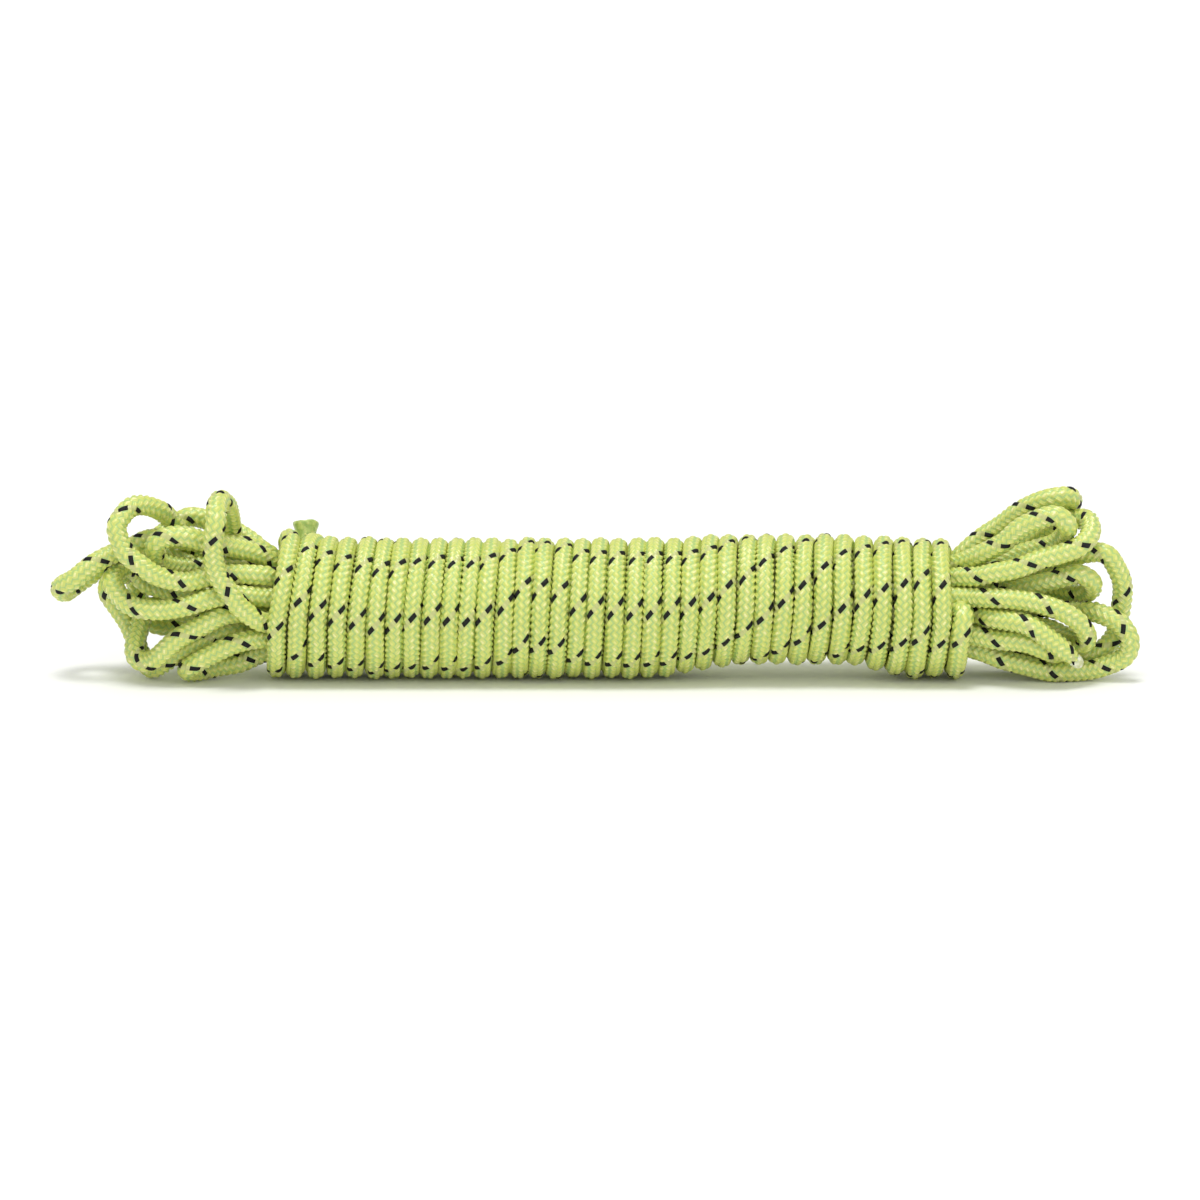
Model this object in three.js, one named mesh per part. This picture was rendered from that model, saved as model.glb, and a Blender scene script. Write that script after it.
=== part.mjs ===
// Hank of braided climbing cord: one cord laid back and forth in 18 runs, then wrapped 37 times around them.
// Millimetres. X runs along the hank, -Y is the front, Z is up and the hank lies on z = 0.
import * as THREE from "three";

// Moves the coil's axis and the loops so that the origin lies under the middle of the whole hank
const CENTRE_SHIFT = [0.17, 0.92, 0];

// Driving dimensions
const CORD = 6;
const TUBE = 2.7;
const SIDES = 8;
const GAP = 0.3;
const RUNS = 18;

// Wrapped coil: a sleeve whose bore flares at both ends, and whose left end is set back at the top
const COIL_LEFT = -96.8;
const COIL_RIGHT = 107.5;
const COIL_RADIUS = 21.4;
const BORE_RADIUS = 15.1;
const EDGE_CHAMFER = 1.5;
const MOUTH_DEPTH = 3;
const MOUTH_FLARE = 2.7;
const LEFT_SET_BACK = 1.6;
const COIL_FACETS = 20;
const AXIS_HEIGHT = COIL_RADIUS * Math.cos(Math.PI / COIL_FACETS);

// The coil is slimmer, and arched off the ground, between these four places along X
const WAIST = [14, 46, 74, 97];
const WAIST_SLIMMER = 1.5;
const WAIST_LIFT = 2.7;

// The runs inside the coil lie in two rings, as strands do in a wire rope
const RING_RADII = [0, 6, 11.8];
const RUN_SLOTS = [
  [1, 3], [2, 9], [2, 5], [1, 5], [2, 0], [2, 4], [2, 1], [2, 11], [2, 8],
  [2, 7], [2, 10], [1, 4], [1, 1], [2, 3], [1, 2], [2, 2], [1, 0], [2, 6],
];

// Loops past the left end of the coil, in the order in which the cord makes them
const LEFT_LOOPS = [
  [[-100, -10, 22], [-106, -12, 23], [-111, -14, 23], [-115, -15, 21], [-120, -15, 18],
    [-125, -15, 15], [-129, -14, 11], [-132, -12, 8], [-136, -10, 7], [-138, -8, 9], [-138, -5, 12],
    [-137, -2, 15], [-136, 1, 19], [-133, 4, 22], [-123, 6, 20], [-111, 5, 15], [-102, 3, 11]],
  [[-100, -12, 27], [-107, -14, 28], [-114, -15, 27], [-122, -16, 25], [-128, -16, 24],
    [-134, -16, 24], [-139, -14, 25], [-143, -11, 28], [-145, -7, 32], [-143, -3, 34], [-139, 1, 33],
    [-136, 3, 28], [-131, 4, 25], [-120, 5, 22], [-110, 5, 19], [-100, 4, 17]],
  [[-102, 13, 22], [-113, 14, 27], [-120, 12, 34], [-124, 8, 40], [-126, 3, 45], [-129, -1, 50],
    [-131, -4, 52], [-135, -7, 54], [-139, -10, 54], [-141, -12, 52], [-143, -14, 49],
    [-142, -15, 45], [-140, -16, 41], [-136, -17, 38], [-132, -17, 35], [-127, -16, 33],
    [-122, -15, 32], [-115, -13, 33], [-108, -12, 33], [-100, -11, 33]],
  [[-100, 10, 37], [-105, 12, 40], [-111, 14, 43], [-117, 15, 45], [-122, 15, 46], [-127, 15, 43],
    [-133, 15, 38], [-137, 15, 32], [-138, 15, 25], [-137, 14, 19.5], [-135, 13, 15],
    [-132, 12, 13.5], [-129, 12, 13], [-124, 12, 12.8], [-116, 12, 13], [-102, 11, 13]],
  [[-100, -3, 8], [-107, -3, 5], [-113, -3, 4], [-118, -4, 3], [-122, -7, 4], [-123, -10, 6],
    [-120, -13, 8], [-114, -14, 11], [-107, -14, 14], [-100, -12, 15]],
  [[-102, 9, 15], [-114, 12, 21], [-126, 13, 28], [-135, 11, 33], [-142, 8, 33], [-146, 5, 31],
    [-147, 4, 27], [-144, 4, 22], [-140, 4, 16], [-138, 3, 11], [-136, 1, 6], [-133, -3, 3],
    [-129, -7, 5], [-124, -9, 8], [-118, -9, 12], [-110, -8, 15], [-101, -5, 16]],
  [[-101, 3, 33], [-108, 1, 33], [-116, -1, 34], [-122, -3, 34], [-127, -5, 35], [-131, -8, 37],
    [-132, -11, 41], [-131, -13, 44], [-127, -14, 46], [-122, -14, 46], [-116, -12, 44],
    [-110, -8, 42], [-101, -4, 39]],
  [[-104, 1, 30], [-113, 3, 31], [-122, 5, 34], [-132, 7, 35.2], [-140, 8, 34], [-146, 8, 31],
    [-152, 8, 28], [-156, 7, 26], [-159, 3, 25], [-160, -3, 28], [-156, -7, 31], [-151, -7, 35],
    [-145, -6, 38], [-138, -5, 41], [-134, -4, 43], [-126, -2, 43], [-117, 1, 41], [-107, 3, 40],
    [-99, 5, 37]],
  [[-101, 7, 28], [-105, 8, 35], [-108, 6, 42], [-109, 2, 48], [-110, -3, 53], [-112, -9, 56],
    [-113, -15, 55], [-113, -19, 52], [-114, -20, 46], [-114, -20, 41], [-113, -20, 36],
    [-110, -20, 31], [-107, -19, 26], [-103, -18, 22], [-99, -15, 19]],
];

// Loops past the right end
const RIGHT_LOOPS = [
  [[117, 3, 11], [126, 3, 13], [135, 2, 13], [141, 0, 10], [145, -5, 10], [147, -10, 13],
    [146, -13, 17], [143, -15, 21], [138, -16, 24], [132, -16, 26], [124, -15, 27], [117, -13, 27],
    [113, -11, 27]],
  [[117, -2, 23], [124, -5, 27], [133, -7, 30], [140, -7, 32], [145, -7, 33], [148, -6, 31],
    [149, -3, 28], [147, 1, 25], [143, 5, 24], [136, 9, 24], [124, 11, 22], [117, 12, 21]],
  [[114, -11, 32], [119, -13, 34], [126, -14, 36], [133, -14, 39], [140, -13, 41], [145, -11, 43],
    [148, -7, 46], [148, -2, 49], [146, 3, 50], [141, 7, 49], [136, 9, 45], [130, 10, 40],
    [123, 11, 35], [117, 11, 32]],
  [[117, 9, 17], [126, 8, 19], [135, 4, 20], [144, -1, 20], [149, -4, 21], [153, -6, 20],
    [157, -7, 18], [160, -7, 13], [159, -6, 8], [154, -5, 5], [147, -4, 3], [139, -4, 3],
    [130, -6, 5], [122, -7, 7], [116, -6, 9]],
  [[114, -11, 15], [121, -13, 14], [129, -14, 13], [135, -13, 10], [139, -10, 7], [142, -5, 5],
    [141, 1, 4], [136, 5, 4], [127, 7, 5], [117, 7, 7]],
  [[117, 2, 11], [127, 3, 8], [136, 3, 5], [144, -1, 5], [149, -1, 6], [153, -1, 9], [156, 0, 13],
    [157, 0, 18], [158, 0, 24], [158, -1, 29], [156, -1, 34], [153, -1, 38], [148, 0, 38],
    [139, 3, 35], [127, 5, 30], [117, 6, 25]],
  [[112, -4, 37], [117, -7, 40], [122, -9, 43], [127, -11, 48], [133, -12, 51], [138, -12, 52],
    [141, -11, 49], [141, -8, 46], [138, -5, 42], [133, -3, 40], [127, -2, 38], [121, -2, 35],
    [116, -3, 31]],
  [[111, 6, 39], [117, 6, 43], [122, 5, 46], [127, 3, 50], [133, 1, 53], [138, 0, 54], [142, 2, 53],
    [143, 5, 50], [141, 9, 48], [135, 12, 47], [127, 13, 43], [120, 11, 37], [115, 8, 31]],
];

// The cord starts with end B, low in the right loops, and its last run turns out and down as the first wrap
const END_B_TAIL = [
  [144, -15, 8], [140, -17, 12], [135, -18, 16], [129, -18, 20], [121, -15, 21], [117, -12, 21],
  [114, -9, 21],
];
const LEAD_IN = [
  [109.3, -11.6, 21.6], [111.4, -14.6, 22.5], [111.2, -17.7, 20.5], [111, -16.9, 15.6],
  [111, -14.4, 10.6], [111, -10.5, 6.7], [111, -5.5, 4.2], [110.8, 0, 3.3],
];

// Settling: strands are moved apart until they touch without crossing, and drawn back to their route a little.
// Near the coil they stay inside the bundle, which opens out at its mouth.
const STATION = 3;
const CLEARANCE = 6.5;
const SAME_STRAND_SKIP = 3;
const ROUNDS = 600;
const SMOOTHING = 0.3;
const RECALL = 0.015;
const ANCHOR_DEPTH = 6;
const BUNDLE_RADIUS = 11.9;
const OPENING_FROM = -2;
const OPENING_SLOPE = 0.9;
const FREE_FROM = 4.5;
const FIRST_WRAP = 5.1;
const LOWEST = 3.1;

// Sealed ends
const SHEATH_BORE = 1.9;
const CORE = 1.4;
const END_LENGTH = 12;
const SEAL_RADIUS = 3;
const SEAL_LENGTH = 1.6;
const END_A = { x: -87, angle: THREE.MathUtils.degToRad(62), length: 5.6 };

const colours = { cord: 0xccd86b, core: 0xf0f0ea, seal: 0xd8dcae };
const hank = new THREE.Group();
hank.position.set(...CENTRE_SHIFT);

function addPart(name, geometry, colour) {
  const material = new THREE.MeshStandardMaterial({ color: colour, roughness: 0.8 });
  const mesh = new THREE.Mesh(geometry, material);
  mesh.name = name;
  hank.add(mesh);
}

function waist(x) {
  const [rise, flat, fall, end] = WAIST;
  return THREE.MathUtils.smoothstep(x, rise, flat) * (1 - THREE.MathUtils.smoothstep(x, fall, end));
}

// 0 at and below the coil's axis, 1 at its top
function topShare(z) {
  return THREE.MathUtils.clamp((z - AXIS_HEIGHT) / 10, 0, 1);
}

function slotPoint(run, x) {
  const [ring, place] = RUN_SLOTS[run];
  const angle = (Math.PI * place) / (3 * ring);
  const y = RING_RADII[ring] * Math.cos(angle);
  const z = AXIS_HEIGHT + RING_RADII[ring] * Math.sin(angle) + WAIST_LIFT * waist(x);
  return new THREE.Vector3(x, y, z);
}

// Points a station apart along a smooth curve through the given places
function stations(places) {
  const curve = new THREE.CatmullRomCurve3(places, false, "centripetal");
  return curve.getSpacedPoints(Math.round(curve.getLength() / STATION));
}

// A strand that leaves the coil by one run and may come back by the next
function strand(points, face, firstRun, lastRun) {
  const inside = face - Math.sign(face) * ANCHOR_DEPTH;
  const places = points.map((p) => new THREE.Vector3(...p));
  if (firstRun !== null) places.unshift(slotPoint(firstRun, inside));
  if (lastRun !== null) places.push(slotPoint(lastRun, inside));
  const start = stations(places);
  return { face, start, now: start.map((p) => p.clone()), firstRun, lastRun };
}

function pushApart(strands) {
  const shift = strands.map((s) => s.now.map(() => new THREE.Vector3()));
  const between = new THREE.Vector3();
  strands.forEach((a, ia) => {
    strands.slice(ia).forEach((b, offset) => {
      const ib = ia + offset;
      a.now.forEach((p, i) => {
        const first = offset === 0 ? i + SAME_STRAND_SKIP + 1 : 0;
        for (let j = first; j < b.now.length; j += 1) {
          between.subVectors(p, b.now[j]);
          const distance = between.length();
          if (distance >= CLEARANCE) continue;
          between.multiplyScalar((CLEARANCE - distance) / (4 * Math.max(distance, 0.1)));
          shift[ia][i].add(between);
          shift[ib][j].sub(between);
        }
      });
    });
  });
  strands.forEach((s, k) => s.now.forEach((p, i) => p.add(shift[k][i])));
}

// The shift from the chosen route is evened out along the strand, and the ends stay put
function evenOut(s) {
  const moved = s.now.map((p, i) => p.clone().sub(s.start[i]));
  const last = moved.length - 1;
  moved.forEach((m, i) => {
    if (i === 0 || i === last) return;
    const middle = moved[i - 1].clone().add(moved[i + 1]).multiplyScalar(0.5);
    const kept = m.clone().lerp(middle, SMOOTHING).multiplyScalar(1 - RECALL);
    s.now[i].addVectors(s.start[i], kept);
  });
  s.now[0].copy(s.start[0]);
  s.now[last].copy(s.start[last]);
}

// Where the bundle ends: at the first wrap on the right, which passes below and in front but not over the top
function bundleEnd(face, z) {
  return face < 0 ? face + LEFT_SET_BACK * topShare(z) : face + FIRST_WRAP * (1 - topShare(z));
}

// Strands stay above the ground, and inside the bundle until they are past the coil's mouth
function confine(s) {
  s.now.forEach((p) => {
    p.z = Math.max(p.z, LOWEST);
    const past = Math.sign(s.face) * (p.x - bundleEnd(s.face, p.z));
    const limit = BUNDLE_RADIUS + OPENING_SLOPE * Math.max(past - OPENING_FROM, 0);
    const radius = Math.hypot(p.y, p.z - AXIS_HEIGHT);
    if (past > FREE_FROM || radius < limit || s.endsOnCoil) return;
    p.y *= limit / radius;
    p.z = AXIS_HEIGHT + ((p.z - AXIS_HEIGHT) * limit) / radius;
  });
}

function settle(strands) {
  for (let round = 0; round < ROUNDS; round += 1) {
    pushApart(strands);
    strands.forEach(evenOut);
    strands.forEach(confine);
  }
}

// Fewer points where the strand is nearly straight
function thinned(points, tolerance = 0.4, longest = 20) {
  const kept = [points[0]];
  let from = 0;
  for (let to = 2; to < points.length; to += 1) {
    const chord = new THREE.Line3(points[from], points[to]);
    const nearest = new THREE.Vector3();
    const strays = points.slice(from + 1, to).some((p) => {
      chord.closestPointToPoint(p, true, nearest);
      return nearest.distanceTo(p) > tolerance;
    });
    if (strays || chord.distance() > longest) {
      from = to - 1;
      kept.push(points[from]);
    }
  }
  kept.push(points[points.length - 1]);
  return kept;
}

// A path that passes through the given points with one tube section at each
class PointPath extends THREE.Curve {
  constructor(points) {
    super();
    this.points = points;
  }

  getPointAt(u) {
    const place = u * (this.points.length - 1);
    const index = Math.min(Math.floor(place + 1e-9), this.points.length - 2);
    return this.points[index].clone().lerp(this.points[index + 1], place - index);
  }

  getTangentAt(u) {
    const index = Math.round(u * (this.points.length - 1));
    const before = this.points[Math.max(index - 1, 0)];
    const after = this.points[Math.min(index + 1, this.points.length - 1)];
    return after.clone().sub(before).normalize();
  }
}

function circle(radius, PathType) {
  const outline = new PathType();
  outline.setFromPoints(
    Array.from({ length: SIDES }, (_, i) => {
      const angle = (2 * Math.PI * (i + 0.5)) / SIDES;
      return new THREE.Vector2(radius * Math.cos(angle), radius * Math.sin(angle));
    }),
  );
  return outline;
}

function tube(points, radius, bore = 0) {
  const section = circle(radius, THREE.Shape);
  if (bore > 0) section.holes.push(circle(bore, THREE.Path));
  const path = new PointPath(points);
  const options = { steps: points.length - 1, extrudePath: path, bevelEnabled: false };
  return new THREE.ExtrudeGeometry(section, options);
}

// Half a run, from the middle of the coil to just short of where its strand is anchored
function runPoints(run, face) {
  const [rise, flat, fall, end] = WAIST;
  const bends = face > 0 ? [rise, (rise + flat) / 2, flat, fall, (fall + end) / 2, end] : [];
  return [Math.sign(face) * (GAP / 2), ...bends].map((x) => slotPoint(run, x));
}

function wholePath(s) {
  const before = s.firstRun === null ? [] : runPoints(s.firstRun, s.face);
  const after = s.lastRun === null ? [] : runPoints(s.lastRun, s.face).reverse();
  return [...before, ...thinned(s.now), ...after];
}

// Splits a path near its end, with a gap between the two pieces and both cut faces square to the cord
function splitNearEnd(points, left) {
  let tail = 0;
  let index = points.length - 1;
  while (tail < left) {
    tail += points[index].distanceTo(points[index - 1]);
    index -= 1;
  }
  const forward = points[index + 1].clone().sub(points[index - 1]).normalize();
  const fromCut = (distance) => points[index].clone().addScaledVector(forward, distance);
  const body = [...points.slice(0, index), fromCut(-1), fromCut(0)];
  const end = [fromCut(GAP), fromCut(GAP + 1), ...points.slice(index + 1)];
  return [body, end];
}

// Sheath, core and fused tip of one end of the cord; the points run towards the tip
function addSealedEnd(name, points) {
  const tip = points[points.length - 1];
  const forward = tip.clone().sub(points[points.length - 2]).normalize();
  const sealStart = tip.clone().addScaledVector(forward, GAP);
  const sealMiddle = sealStart.clone().addScaledVector(forward, SEAL_LENGTH / 2);
  const sealTip = sealStart.clone().addScaledVector(forward, SEAL_LENGTH);
  addPart(`${name}_sheath`, tube(points, TUBE, SHEATH_BORE), colours.cord);
  addPart(`${name}_core`, tube(points, CORE), colours.core);
  addPart(`${name}_seal`, tube([sealStart, sealMiddle, sealTip], SEAL_RADIUS), colours.seal);
}

function coilGeometry() {
  const length = COIL_RIGHT - COIL_LEFT;
  const [rise, flat, fall, end] = WAIST;
  const places = [rise, ...[0.33, 0.67, 1].map((t) => THREE.MathUtils.lerp(rise, flat, t))];
  places.push(...[0, 0.33, 0.67, 1].map((t) => THREE.MathUtils.lerp(fall, end, t)));
  const outer = places.map((x) => new THREE.Vector2(COIL_RADIUS - WAIST_SLIMMER * waist(x), x - COIL_LEFT));
  outer.unshift(
    new THREE.Vector2(COIL_RADIUS - EDGE_CHAMFER, 0),
    new THREE.Vector2(COIL_RADIUS, EDGE_CHAMFER),
  );
  outer.push(
    new THREE.Vector2(COIL_RADIUS, length - EDGE_CHAMFER),
    new THREE.Vector2(COIL_RADIUS - EDGE_CHAMFER, length),
  );
  const bore = places.map((x) => new THREE.Vector2(BORE_RADIUS, x - COIL_LEFT)).reverse();
  bore.unshift(
    new THREE.Vector2(BORE_RADIUS + MOUTH_FLARE, length),
    new THREE.Vector2(BORE_RADIUS, length - MOUTH_DEPTH),
  );
  bore.push(new THREE.Vector2(BORE_RADIUS, MOUTH_DEPTH), new THREE.Vector2(BORE_RADIUS + MOUTH_FLARE, 0));
  const profile = [...outer, ...bore, outer[0].clone()];
  const geometry = new THREE.LatheGeometry(profile, COIL_FACETS);
  geometry.rotateY(Math.PI / COIL_FACETS);
  geometry.rotateZ(-Math.PI / 2);
  geometry.translate(COIL_LEFT, 0, AXIS_HEIGHT);
  const position = geometry.attributes.position;
  for (let i = 0; i < position.count; i += 1) {
    const x = position.getX(i);
    const z = position.getZ(i);
    if (x < COIL_LEFT + MOUTH_DEPTH + GAP) position.setX(i, x + LEFT_SET_BACK * topShare(z));
    position.setZ(i, z + WAIST_LIFT * waist(x));
  }
  return geometry;
}

const leftStrands = LEFT_LOOPS.map((points, k) => strand(points, COIL_LEFT, 2 * k, 2 * k + 1));
const rightStrands = RIGHT_LOOPS.map((points, k) => strand(points, COIL_RIGHT, 2 * k + 1, 2 * k + 2));
const tailB = strand([...END_B_TAIL].reverse(), COIL_RIGHT, 0, null);
const leadIn = strand(LEAD_IN, COIL_RIGHT, RUNS - 1, null);
leadIn.endsOnCoil = true;
settle(leftStrands);
settle([...rightStrands, tailB, leadIn]);

addPart("wrapping_coil", coilGeometry(), colours.cord);
leftStrands.forEach((s, k) => addPart(`left_bight_${k + 1}`, tube(wholePath(s), TUBE), colours.cord));
rightStrands.forEach((s, k) => addPart(`right_bight_${k + 1}`, tube(wholePath(s), TUBE), colours.cord));
addPart("lead_in", tube(wholePath(leadIn), TUBE), colours.cord);

const [bodyB, endB] = splitNearEnd(wholePath(tailB), END_LENGTH);
addPart("end_b_run", tube(bodyB, TUBE), colours.cord);
addSealedEnd("end_b", endB);

const outward = new THREE.Vector3(0, Math.cos(END_A.angle), Math.sin(END_A.angle));
const endAFoot = new THREE.Vector3(END_A.x, 0, AXIS_HEIGHT).addScaledVector(outward, COIL_RADIUS + GAP);
const endAMiddle = endAFoot.clone().addScaledVector(outward, END_A.length / 2);
const endATip = endAFoot.clone().addScaledVector(outward, END_A.length);
addSealedEnd("end_a", [endAFoot, endAMiddle, endATip]);

export default hank;
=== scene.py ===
# Hank of braided climbing cord: one cord laid back and forth, then wrapped around itself. Metres, +Z up.
import math

import bpy
import numpy as np
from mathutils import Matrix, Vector


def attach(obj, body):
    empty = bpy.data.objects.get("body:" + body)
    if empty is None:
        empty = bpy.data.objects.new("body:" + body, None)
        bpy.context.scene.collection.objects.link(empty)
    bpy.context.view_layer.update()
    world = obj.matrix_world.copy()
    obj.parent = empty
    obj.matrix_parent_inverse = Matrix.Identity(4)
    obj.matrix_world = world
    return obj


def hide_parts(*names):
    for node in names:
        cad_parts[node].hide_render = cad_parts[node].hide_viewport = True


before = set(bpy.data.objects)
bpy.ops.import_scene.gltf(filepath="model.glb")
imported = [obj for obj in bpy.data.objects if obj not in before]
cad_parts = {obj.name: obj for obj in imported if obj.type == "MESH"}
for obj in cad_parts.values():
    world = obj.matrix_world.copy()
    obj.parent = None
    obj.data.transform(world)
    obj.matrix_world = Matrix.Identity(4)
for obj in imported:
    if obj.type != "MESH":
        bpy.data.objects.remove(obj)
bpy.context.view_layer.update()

# Cord. Its centreline is a curve of DENSE points per station, smoothed over SMOOTH_REACH of them each way
CORD = 0.006
DENSE = 12
SMOOTH_REACH = 4
LINE_STEP = 0.001

# Braid. Its surface is a grid with FINE cells across each yarn, or COARSE where the cord is out of sight
CARRIERS_EACH_WAY = 8
BRAID_PITCH = 0.0162
FINE = 3
COARSE = 1
FLOOR_OF_BRAID = 0.0026
RELIEF = 0.00062
BLUNT_ACROSS = 2.4
BLUNT_ALONG = 0.6
TRACER_CARRIER = 0

# The route is in the coil's own frame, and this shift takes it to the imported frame
CENTRE_SHIFT = np.array([0.00017, 0.00092, 0.0])

# Wrapped coil. Its turns are counted from the left, and WRAP_PLACES gives X at some of them
COIL_LEFT = -0.0968
COIL_RIGHT = 0.1075
HIDDEN_DEPTH = 0.016
TURNS = 37
WRAP_PLACES = ((0, -0.098), (5, -0.0683), (15, -0.0140), (27, 0.0533), (TURNS, 0.1126))
WRAP_RADIUS = 0.0181
WRAP_STEPS = 24
FIRST_TURN = TURNS - 0.5
LAST_TURN = 0.5
WRAPPED_TURNS = TURNS - 0.72
PRESSED_SHARE = 0.06
SOLID_RADIUS = 0.0214
SOLID_FACETS = 20
AXIS_HEIGHT = SOLID_RADIUS * math.cos(math.pi / SOLID_FACETS)

# The coil is slimmer and arches off the ground over this part of its length
WAIST = (0.014, 0.046, 0.074, 0.097)
WAIST_SLIMMER = 0.0015
WAIST_LIFT = 0.0027

# Above and below, each wrap is drawn in towards the coil's middle: so far at this distance from the middle
DRAWN_IN = 0.0012
DRAWN_IN_MORE_ABOVE = 0.0004
DRAWN_IN_AT = 0.1

# The leftmost wraps lean over and ride up on one another, and both die away within a few turns
LAST_LEAN = 0.002
LEAN_TURNS = 1.2
LAST_LIFT = 0.0045
LIFT_TURNS = 1.5

# Small differences between one wrap and the next
UNEVENNESS = 0.00022

# Height above the coil's axis, in cord diameters, at which the tracer crosses the front of a wrap, as it
# is seen from LOOK_DOWN above level. The twist between the wraps is smoothed over so many line steps
TRACER_HEIGHTS = (
    (1, -1.1), (2, 0.3), (6, -0.9), (9, -0.25), (11, -0.6), (13, 0.25), (14, 1.4), (16, 1.2), (17, 0.3),
    (21, 0.05), (24, 0.4), (26, 1.7), (27, -0.6), (28, 0.35), (30, 2.1), (31, 0.05), (35, 2.05), (37, 0.8),
)
LOOK_DOWN = math.radians(12)
TWIST_SMOOTHING = 40

# The runs inside the coil lie in two rings, as strands do in a wire rope
RUNS = 18
RING_RADII = (0.0, 0.006, 0.0118)
RUN_SLOTS = (
    (1, 3), (2, 9), (2, 5), (1, 5), (2, 0), (2, 4), (2, 1), (2, 11), (2, 8),
    (2, 7), (2, 10), (1, 4), (1, 1), (2, 3), (1, 2), (2, 2), (1, 0), (2, 6),
)

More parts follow.
